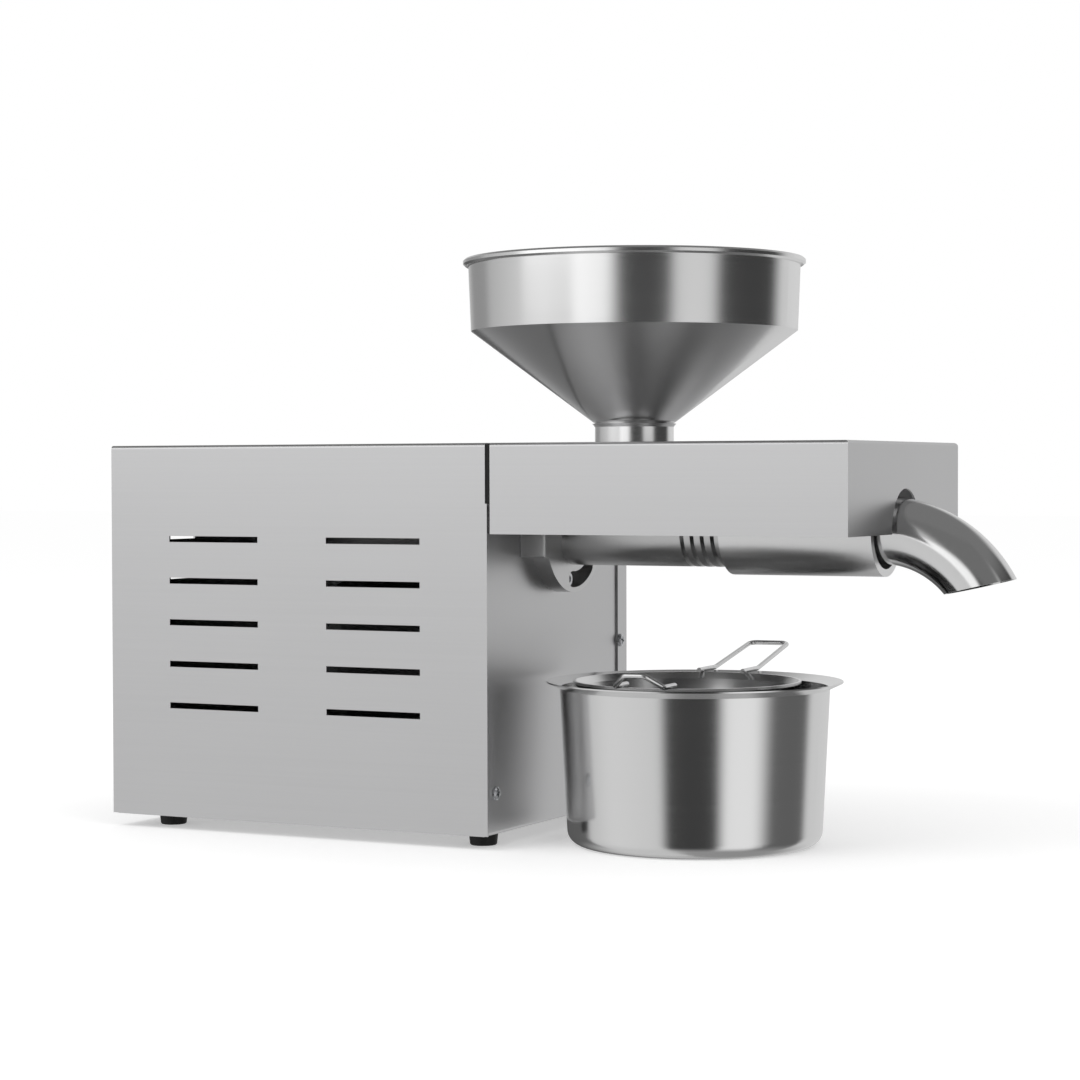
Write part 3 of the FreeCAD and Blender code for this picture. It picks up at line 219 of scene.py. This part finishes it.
finishes = {
    "sheet": {"colour": (0.66, 0.66, 0.665), "rough": 0.33, "wander": 0.02, "tone": 0.015, "depth": 0.000004},
    "hopper": {"colour": (0.84, 0.84, 0.84), "rough": 0.17, "wander": 0.02, "tone": 0.01, "depth": 0.000002,
               "rings": 900, "streak": 0.6},
    "pot": {"colour": (0.84, 0.84, 0.84), "rough": 0.15, "wander": 0.02, "tone": 0.01, "depth": 0.000002,
            "rings": 900, "streak": 0.5},
    "strainer": {"colour": (0.78, 0.78, 0.78), "rough": 0.2, "wander": 0.03, "tone": 0.02, "depth": 0.000003,
                 "rings": 700, "streak": 0.5},
    "elbow": {"colour": (0.80, 0.80, 0.80), "rough": 0.14, "wander": 0.02, "tone": 0.01, "depth": 0.000002},
    "turned": {"colour": (0.70, 0.70, 0.70), "rough": 0.34, "wander": 0.03, "tone": 0.02, "depth": 0.0000006, "rings": 2600},
    "sleeve": {"colour": (0.88, 0.88, 0.88), "rough": 0.3, "wander": 0.01, "tone": 0.01, "depth": 0.0000003,
               "rings": 2600},
    "gear": {"colour": (0.42, 0.42, 0.43), "rough": 0.36, "wander": 0.06, "tone": 0.06, "depth": 0.00001},
    "zinc": {"colour": (0.62, 0.63, 0.65), "rough": 0.27, "wander": 0.05, "tone": 0.04, "depth": 0.000004},
    "cast": {"colour": (0.40, 0.41, 0.42), "rough": 0.55, "wander": 0.08, "tone": 0.12, "depth": 0.00006,
             "grains": 900, "metallic": 0.9},
    "plates": {"colour": (0.33, 0.33, 0.35), "rough": 0.45, "tone": 0.2, "depth": 0.00006, "across": 0,
               "along": 3000, "uneven": 0.3, "bands": "Y"},
    "copper": {"colour": (0.72, 0.30, 0.14), "rough": 0.32, "tone": 0.25, "depth": 0.0002, "across": 2500,
               "along": 2500, "uneven": 1.5, "bands": "DIAGONAL"},
    "rubber": {"colour": (0.012, 0.012, 0.012), "rough": 0.62, "wander": 0.06, "tone": 0.3, "depth": 0.00004,
               "grains": 1400, "gloss": 0.35},
    "plastic": {"colour": (0.018, 0.018, 0.019), "rough": 0.45, "wander": 0.05, "tone": 0.2, "depth": 0.00003,
                "grains": 2200, "gloss": 0.4},
    "keys": {"colour": (0.30, 0.30, 0.31), "rough": 0.42, "wander": 0.05, "tone": 0.06, "depth": 0.00002,
             "grains": 2200},
    "board": {"colour": (0.02, 0.13, 0.05), "rough": 0.38, "wander": 0.06, "tone": 0.35, "depth": 0.00003,
              "grains": 700},
    "glass": {"colour": (0.008, 0.009, 0.010), "rough": 0.09, "wander": 0.03, "tone": 0.2, "depth": 0.000002,
              "grains": 60, "gloss": 0.5},
    "mica": {"colour": (0.30, 0.24, 0.15), "rough": 0.4, "wander": 0.1, "tone": 0.25, "depth": 0.00005,
             "grains": 260},
    "paint": {"colour": (0.75, 0.75, 0.74), "rough": 0.5, "wander": 0.05, "tone": 0.04, "depth": 0.000002,
              "grains": 900},
    "brass": {"colour": (0.72, 0.53, 0.24), "rough": 0.25, "wander": 0.05, "tone": 0.05, "depth": 0.000004},
}

materials = {
    "sheet": brushedMetal("brushedSheet", finishes["sheet"]),
    "hopper": spunMetal("spunHopper", finishes["hopper"], hopperAxis),
    "pot": spunMetal("spunPot", finishes["pot"], potAxis),
    "strainer": spunMetal("spunStrainer", finishes["strainer"], bowlAxis),
    "elbow": brushedMetal("polishedTube", finishes["elbow"], (300, 300, 300)),
    "turned": spunMetal("turnedSteel", finishes["turned"], barrelAxis, "X"),
    "sleeve": spunMetal("turnedSleeve", finishes["sleeve"], barrelAxis, "X"),
    "gear": brushedMetal("gearSteel", finishes["gear"], (400, 400, 400)),
    "zinc": brushedMetal("zincPlate", finishes["zinc"], (300, 300, 300)),
    "cast": grainySurface("castAlloy", finishes["cast"]),
    "plates": woundMetal("stackedPlates", finishes["plates"], middleOf("motor_stator")),
    "copper": woundMetal("copperWire", finishes["copper"], middleOf("motor_stator")),
    "rubber": grainySurface("blackRubber", finishes["rubber"]),
    "plastic": grainySurface("blackPlastic", finishes["plastic"]),
    "keys": grainySurface("greyPlastic", finishes["keys"]),
    "board": grainySurface("solderMask", finishes["board"]),
    "glass": grainySurface("darkWindow", finishes["glass"]),
    "mica": grainySurface("heaterMica", finishes["mica"]),
    "paint": grainySurface("markPaint", finishes["paint"]),
    "brass": brushedMetal("brassPins", finishes["brass"], (300, 300, 300)),
}

slotFinish = {
    "stainless_sheet": "sheet", "polished_stainless": "strainer", "machined_steel": "turned",
    "gear_steel": "gear", "zinc_steel": "zinc", "cast_alloy": "cast", "lamination_steel": "plates",
    "copper_winding": "copper", "black_rubber": "rubber", "black_plastic": "plastic", "grey_plastic": "keys",
    "board_green": "board", "dark_glass": "glass", "heater_mica": "mica", "brass": "brass",
}
nodeFinish = {
    "hopper_bowl": "hopper", "hopper_neck": "hopper", "oil_pot": "pot", "residue_elbow": "elbow",
    "front_sleeve": "sleeve",
}


def paint(thing, finish):
    thing.data.materials.clear()
    thing.data.materials.append(materials[finish])


def paintNodes():
    for part in frame["record"]["subparts"]:
        name = part["node"]
        paint(nodes[name], nodeFinish.get(name, slotFinish[part["material_slot"]]))


paintNodes()
print("finishes done:", len(materials))


def addObject(name, mesh, finish=None):
    thing = bpy.data.objects.new(name, mesh)
    bpy.context.scene.collection.objects.link(thing)
    if finish:
        paint(thing, finish)
    return thing


def meshOf(name, shape):
    # recalculates the normals outward and keeps the shape as a mesh
    bmesh.ops.recalc_face_normals(shape, faces=shape.faces)
    mesh = bpy.data.meshes.new(name)
    shape.to_mesh(mesh)
    shape.free()
    return mesh


def lathe(name, profile, steps):
    # a closed profile of (radius, height) points turned about the Z axis
    shape = bmesh.new()
    rings = []
    for step in range(steps):
        angle = 2 * math.pi * step / steps
        rings.append([shape.verts.new((reach * math.cos(angle), reach * math.sin(angle), high))
                      for reach, high in profile])
    for step in range(steps):
        here, there = rings[step], rings[(step + 1) % steps]
        for index in range(len(profile)):
            after = (index + 1) % len(profile)
            shape.faces.new((here[index], there[index], there[after], here[after]))
    bmesh.ops.remove_doubles(shape, verts=shape.verts, dist=1e-6)
    bmesh.ops.dissolve_degenerate(shape, dist=1e-7, edges=shape.edges)
    return meshOf(name, shape)


def islands(node):
    # the separate solids of a node, each as a list of its points
    shape = bmesh.new()
    shape.from_mesh(nodes[node].data)
    bmesh.ops.remove_doubles(shape, verts=shape.verts, dist=1e-6)
    left = set(shape.verts)
    groups = []
    while left:
        reached = [left.pop()]
        for vertex in reached:
            for edge in vertex.link_edges:
                other = edge.other_vert(vertex)
                if other in left:
                    left.remove(other)
                    reached.append(other)
        groups.append([vertex.co.copy() for vertex in reached])
    shape.free()
    return groups


screwKinds = {
    "cover_screws": {"drive": "cross", "head": "pan"},
    "foot_screws": {"drive": "cross", "head": "pan"},
    "flange_bolts": {"drive": "hex", "head": "cap"},
    "clamp_bolt": {"drive": "hex", "head": "cap"},
}


def screwSeat(points):
    # seat, facing and sizes of one screw: its head is the end with the widest points
    low = Vector(min(point[axis] for point in points) for axis in range(3))
    high = Vector(max(point[axis] for point in points) for axis in range(3))
    size = high - low
    spans = sorted(range(3), key=lambda axis: abs(sum(size) - size[axis] - 2 * size[(axis + 1) % 3]))
    axis = spans[0] if abs(size[(spans[0] + 1) % 3] - size[(spans[0] + 2) % 3]) < 1e-4 else spans[1]
    middle = (low + high) / 2

    def reach(point):
        return math.sqrt(sum((point[side] - middle[side]) ** 2 for side in range(3) if side != axis))

    widest = max(reach(point) for point in points)
    seats = [point[axis] for point in points if reach(point) > widest - 1e-5]
    seat = sum(seats) / len(seats)
    upward = high[axis] - seat < seat - low[axis]
    facing = Vector((0, 0, 0))
    facing[axis] = 1 if upward else -1
    spot = middle.copy()
    spot[axis] = seat
    head = high[axis] - seat if upward else seat - low[axis]
    narrow = min(reach(point) for point in points)
    return {"spot": spot, "facing": facing, "radius": widest, "head": head, "shank": narrow,
            "long": size[axis] - head}


def screwTemplate(name, look, seat):
    # one screw along Z with its seat at the origin and a driven recess
    wide, high = seat["radius"], seat["head"]
    if look["head"] == "pan":
        top = [(wide, 0), (wide, 0.25 * high), (0.93 * wide, 0.6 * high), (0.75 * wide, 0.86 * high),
               (0.45 * wide, 0.98 * high), (0, high)]
    else:
        top = [(wide, 0), (wide, 0.86 * high), (0.93 * wide, high), (0, high)]
    profile = [(0, -seat["long"]), (seat["shank"], -seat["long"]), (seat["shank"], 0)] + top
    screw = addObject(name, lathe(name, profile, 32))
    shape = bmesh.new()
    if look["drive"] == "cross":
        for size in ((1.15 * wide, 0.24 * wide), (0.24 * wide, 1.15 * wide)):
            made = bmesh.ops.create_cube(shape, size=1)["verts"]
            bmesh.ops.scale(shape, vec=(*size, 1.3 * high), verts=made)
            bmesh.ops.translate(shape, vec=(0, 0, 1.05 * high), verts=made)
    else:
        bmesh.ops.create_cone(shape, cap_ends=True, segments=6, radius1=0.52 * wide, radius2=0.52 * wide,
                              depth=1.2 * high, matrix=Matrix.Translation((0, 0, 1.05 * high)))
    cutter = addObject(name + "Recess", meshOf(name + "Recess", shape))
    cut = screw.modifiers.new("recess", "BOOLEAN")
    cut.operation = "DIFFERENCE"
    cut.solver = "EXACT"
    cut.use_self = True
    cut.object = cutter
    mesh = bpy.data.meshes.new_from_object(screw.evaluated_get(bpy.context.evaluated_depsgraph_get()))
    bpy.data.objects.remove(cutter)
    bpy.data.objects.remove(screw)
    return addObject(name, mesh)


def scatterTree():
    # Geometry Nodes: one copy of a template at each point, turned to that point's facing
    tree = bpy.data.node_groups.new("scatterScrews", "GeometryNodeTree")
    for name, kind in (("Points", "NodeSocketGeometry"), ("Template", "NodeSocketObject"),
                       ("Seed", "NodeSocketInt"), ("Material", "NodeSocketMaterial")):
        tree.interface.new_socket(name, in_out="INPUT", socket_type=kind)
    tree.interface.new_socket("Geometry", in_out="OUTPUT", socket_type="NodeSocketGeometry")
    given = tree.nodes.new("NodeGroupInput").outputs
    copied = addNode(tree, "GeometryNodeObjectInfo", {"Object": given["Template"]}).outputs["Geometry"]
    facing = addNode(tree, "GeometryNodeInputNamedAttribute", {"Name": "facing"}, data_type="FLOAT_VECTOR")
    aimed = addNode(tree, "FunctionNodeAlignRotationToVector", {"Vector": facing.outputs["Attribute"]}, axis="Z")
    angle = addNode(tree, "FunctionNodeRandomValue", {"Seed": given["Seed"]}, data_type="FLOAT")
    turn = maths(tree, "MULTIPLY", angle.outputs[1], math.tau)
    spin = addNode(tree, "FunctionNodeAxisAngleToRotation", {"Axis": (0, 0, 1), "Angle": turn}).outputs[0]
    turned = addNode(tree, "FunctionNodeRotateRotation", {"Rotation": aimed.outputs[0], "Rotate By": spin},
                     rotation_space="LOCAL").outputs[0]
    placed = addNode(tree, "GeometryNodeInstanceOnPoints",
                     {"Points": given["Points"], "Instance": copied, "Rotation": turned}).outputs[0]
    real = addNode(tree, "GeometryNodeRealizeInstances", {"Geometry": placed}).outputs[0]
    coated = addNode(tree, "GeometryNodeSetMaterial", {"Geometry": real, "Material": given["Material"]}).outputs[0]
    addNode(tree, "NodeGroupOutput", {0: coated})
    return tree


def grownMesh(name, base, tree, values):
    # runs a Geometry Nodes tree on a base mesh and keeps the plain result
    carrier = addObject(name + "Base", base)
    modifier = carrier.modifiers.new("grow", "NODES")
    modifier.node_group = tree
    sockets = {item.name: item.identifier for item in tree.interface.items_tree if item.in_out == "INPUT"}
    for key, value in values.items():
        modifier[sockets[key]] = value
    mesh = bpy.data.meshes.new_from_object(carrier.evaluated_get(bpy.context.evaluated_depsgraph_get()))
    bpy.data.objects.remove(carrier)
    return mesh


def makeScrews():
    tree = scatterTree()
    for seed, (node, look) in enumerate(screwKinds.items(), start=1):
        seats = [screwSeat(points) for points in islands(node)]
        template = screwTemplate(node + "Template", look, seats[0])
        base = bpy.data.meshes.new(node + "Spots")
        base.from_pydata([seat["spot"] for seat in seats], [], [])
        facing = base.attributes.new("facing", "FLOAT_VECTOR", "POINT")
        facing.data.foreach_set("vector", [part for seat in seats for part in seat["facing"]])
        name = node.replace("_", "") + "Driven"
        values = {"Template": template, "Seed": seed, "Material": materials["zinc"]}
        piece = addObject(name, grownMesh(name, base, tree, values), "zinc")
        bpy.data.objects.remove(template)
        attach(piece, "frame")
        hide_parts(node)
        print("screws:", node, len(seats))


makeScrews()


def bar(left, low, right, high):
    return [[(left, low), (right, low), (right, high), (left, high)]]


def ring(outer, inner, start=0, end=360, steps=24):
    # a flat ring, or part of one, as a chain of quads
    quads = []
    for step in range(steps):
        near, far = (math.radians(start + (end - start) * (step + part) / steps) for part in (0, 1))
        quads.append([(reach * math.cos(angle), reach * math.sin(angle))
                      for reach, angle in ((inner, near), (outer, near), (outer, far), (inner, far))])
    return quads


marks = {
    "powerMarkOn": {"body": "power_rocker", "seat": "powerTop", "shape": bar(-0.3, -1.7, 0.3, 1.7)},
    "powerMarkOff": {"body": "power_rocker", "seat": "powerBase", "shape": ring(1.8, 1.3)},
    "forwardMark": {"body": "direction_rocker", "seat": "directionTop",
                    "shape": [[(-1.5, -1.0), (1.5, -1.0), (0, 1.6)]]},
    "reverseMark": {"body": "direction_rocker", "seat": "directionBase",
                    "shape": [[(-1.5, 1.0), (0, -1.6), (1.5, 1.0)]]},
    "powerKeyMark": {"body": "power_key", "seat": "power_key",
                     "shape": ring(2.2, 1.75, 125, 415) + bar(-0.22, 0.7, 0.22, 2.8)},
    "heatKeyMark": {"body": "heat_key", "seat": "heat_key",
                    "shape": bar(-1.7, -1.5, -1.25, 2.0) + bar(-0.22, -1.5, 0.22, 2.0) + bar(1.25, -1.5, 1.7, 2.0)
                    + bar(-2.2, -2.4, 2.2, -2.0)},
    "minusKeyMark": {"body": "minus_key", "seat": "minus_key", "shape": bar(-2, -0.27, 2, 0.27)},
    "plusKeyMark": {"body": "plus_key", "seat": "plus_key",
                    "shape": bar(-2, -0.27, 2, 0.27) + bar(-0.27, 0.27, 0.27, 2) + bar(-0.27, -2, 0.27, -0.27)},
}
rockerFace = {"fall": math.atan2(2.0, 8.4), "up": 4.2, "out": 2.9, "tilt": math.radians(-8)}
millimetre = 0.001
markThick = 0.12


def markSeat(name):
    # the plane a mark lies on: across to the viewer's right, up, and out of the panel
    if name.endswith("_key"):
        low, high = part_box(name)
        return Matrix.Translation(((low.x + high.x) / 2, high.y, (low.z + high.z) / 2))
    node, side = ("power_rocker", 1) if name.startswith("power") else ("direction_rocker", 1)
    side = 1 if name.endswith("Top") else -1
    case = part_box(node.replace("_rocker", "_switch_case"))
    middle = (case[0] + case[1]) / 2
    pivot = Vector((middle.x, case[1].y - 2.8 * millimetre, middle.z))
    turn = rockerFace["tilt"] if node == "power_rocker" else 0
    spot = Vector((0, rockerFace["out"], side * rockerFace["up"])) * millimetre
    lean = Matrix.Rotation(-side * rockerFace["fall"], 4, "X")
    return Matrix.Translation(pivot) @ Matrix.Rotation(turn, 4, "X") @ Matrix.Translation(spot) @ lean


def makeMarks():
    for name, look in marks.items():
        place = markSeat(look["seat"])
        shape = bmesh.new()
        for outline in look["shape"]:
            layers = [[shape.verts.new(place @ Vector((-across * millimetre, out * millimetre, up * millimetre)))
                       for across, up in outline] for out in (-0.3, markThick)]
            shape.faces.new(layers[0])
            shape.faces.new(list(reversed(layers[1])))
            for index in range(len(outline)):
                after = (index + 1) % len(outline)
                shape.faces.new((layers[0][index], layers[0][after], layers[1][after], layers[1][index]))
        bmesh.ops.remove_doubles(shape, verts=shape.verts, dist=1e-7)
        piece = addObject(name, meshOf(name, shape), "paint")
        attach(piece, look["body"])


makeMarks()
print("marks done:", len(marks))


studio = {
    "radius": 3.0,
    "wall": [(-180, 0.50), (-150, 0.62), (-128, 0.74), (-118, 0.68), (-109, 0.62), (-104, 1.1), (-84, 1.1), (-72, 0.06),
             (-44, 0.06), (-35, 0.7), (-14, 0.7), (-2, 0.05), (40, 0.05), (56, 0.68), (72, 0.72), (120, 0.7),
             (150, 0.30), (170, 0.3), (180, 0.50)],
    "lowWall": [(-180, 0.12), (-170, 0.60), (-140, 0.70), (-97, 0.66), (-86, 0.05), (-50, 0.05), (-37, 0.85),
                (-16, 0.85), (6, 0.12), (38, 0.12), (50, 0.66), (100, 0.66), (117, 0.10), (180, 0.12)],
    "heights": (-0.045, -0.01),
    "top": 0.20,
    "low": [(-180, 0.6), (-100, 0.6), (-70, 0.3), (90, 0.3), (120, 0.5), (180, 0.6)],
    "panel": {"turn": -122, "halfTurn": 22, "rise": 21, "halfRise": 17, "glow": 1.3},
    "shade": {"turn": -55, "halfTurn": 40, "rise": 36, "halfRise": 20, "glow": 0.18},
    "skyDiffuse": 0.8,
    "floorGlow": 0.35,
    "floorColour": (0.80, 0.80, 0.80),
}


def between(stops, value):
    for (start, low), (end, high) in zip(stops, stops[1:]):
        if start <= value <= end:
            part = (value - start) / (end - start)
            part = part * part * (3 - 2 * part)
            return low + (high - low) * part
    return stops[-1][1]


def patch(look, turn, rise):
    # how far inside a soft-edged panel a direction lies, from 0 to 1
    off = max(abs(turn - look["turn"]) / look["halfTurn"], abs(rise - look["rise"]) / look["halfRise"])
    return between([(0, 1), (0.75, 1), (1.25, 0)], min(off, 1.25))


def studioGlow(direction):
    turn = math.degrees(math.atan2(direction.y, direction.x))
    rise = math.degrees(math.asin(max(-1, min(1, direction.z))))
    foot, head = studio["heights"]
    raised = between([(foot, 0), (head, 1)], max(foot, min(head, direction.z)))
    wall = between(studio["wall"], turn) * raised + between(studio["lowWall"], turn) * (1 - raised)
    above = between([(0, 0), (22, 0), (46, 1), (90, 1)], max(rise, 0))
    below = between([(0, 0), (25, 0), (60, 1), (90, 1)], max(-rise, 0))
    glow = wall * (1 - above - below) + studio["top"] * above + between(studio["low"], turn) * below
    for look in (studio["shade"], studio["panel"]):
        inside = patch(look, turn, rise)
        glow = glow * (1 - inside) + look["glow"] * inside
    return glow


def glowMaterial():
    material = bpy.data.materials.new("studioPanels")
    material.use_nodes = True
    tree = material.node_tree
    tree.nodes.clear()
    glow = addNode(tree, "ShaderNodeAttribute", {}, attribute_name="glow").outputs["Fac"]
    light = addNode(tree, "ShaderNodeEmission", {"Strength": glow}).outputs[0]
    addNode(tree, "ShaderNodeOutputMaterial", {0: light})
    return material


def makeStudioWall():
    # a round tent of light and dark panels, seen only by what reflects
    shape = bmesh.new()
    bmesh.ops.create_uvsphere(shape, u_segments=240, v_segments=180, radius=studio["radius"])
    mesh = bpy.data.meshes.new("studioWall")
    shape.to_mesh(mesh)
    shape.free()
    glow = mesh.attributes.new("glow", "FLOAT", "POINT")
    glow.data.foreach_set("value", [studioGlow(vertex.co.normalized()) for vertex in mesh.vertices])
    wall = bpy.data.objects.new("studioWall", mesh)
    wall.location = (0, 0, 0.2)
    bpy.context.scene.collection.objects.link(wall)
    mesh.materials.append(glowMaterial())
    wall.visible_camera = False
    wall.visible_diffuse = False
    wall.visible_shadow = False
    wall.visible_transmission = False


def backgroundRays(tree):
    # rays that show the background: from the camera, and reflected or passing through
    path = addNode(tree, "ShaderNodeLightPath", {}).outputs
    seen = maths(tree, "MAXIMUM", path["Is Camera Ray"], path["Is Glossy Ray"])
    return maths(tree, "MAXIMUM", seen, path["Is Transmission Ray"])


def makeFloor():
    mesh = bpy.data.meshes.new("floor")
    half = 12
    mesh.from_pydata([(-half, -half, 0), (half, -half, 0), (half, half, 0), (-half, half, 0)], [], [(0, 1, 2, 3)])
    floor = bpy.data.objects.new("floor", mesh)
    bpy.context.scene.collection.objects.link(floor)
    material, tree, shader = startMaterial("paleFloor", studio["floorColour"], 0, 0.9)
    shader.inputs["Specular IOR Level"].default_value = 0
    shader.inputs["Emission Color"].default_value = (1, 1, 1, 1)
    glow = maths(tree, "MULTIPLY", backgroundRays(tree), studio["floorGlow"])
    tree.links.new(glow, shader.inputs["Emission Strength"])
    mesh.materials.append(material)
    floor.visible_glossy = False


def makeSky():
    world = bpy.data.worlds.new("sky")
    bpy.context.scene.world = world
    world.use_nodes = True
    tree = world.node_tree
    tree.nodes.clear()
    soft = addNode(tree, "ShaderNodeBackground", {"Color": (1, 1, 1, 1), "Strength": studio["skyDiffuse"]})
    white = addNode(tree, "ShaderNodeBackground", {"Color": (1, 1, 1, 1), "Strength": 1.0})
    mix = addNode(tree, "ShaderNodeMixShader", {0: backgroundRays(tree), 1: soft.outputs[0], 2: white.outputs[0]})
    addNode(tree, "ShaderNodeOutputWorld", {0: mix.outputs[0]})


lamps = {
    "keyLamp": {"place": (-0.9, -1.6, 2.2), "size": 1.4, "power": 14},
    "fillLamp": {"place": (1.9, -0.9, 1.6), "size": 1.6, "power": 7},
}


def makeLamps():
    for name, lamp in lamps.items():
        data = bpy.data.lights.new(name, "AREA")
        data.size = lamp["size"]
        data.energy = lamp["power"]
        light = bpy.data.objects.new(name, data)
        light.location = lamp["place"]
        light.rotation_mode = "QUATERNION"
        light.rotation_quaternion = (Vector((0, 0, 0.15)) - light.location).to_track_quat("-Z", "Y")
        light.visible_glossy = False
        bpy.context.scene.collection.objects.link(light)


bpy.context.scene.view_settings.view_transform = "Standard"
makeStudioWall()
makeFloor()
makeSky()
makeLamps()
print("studio done")
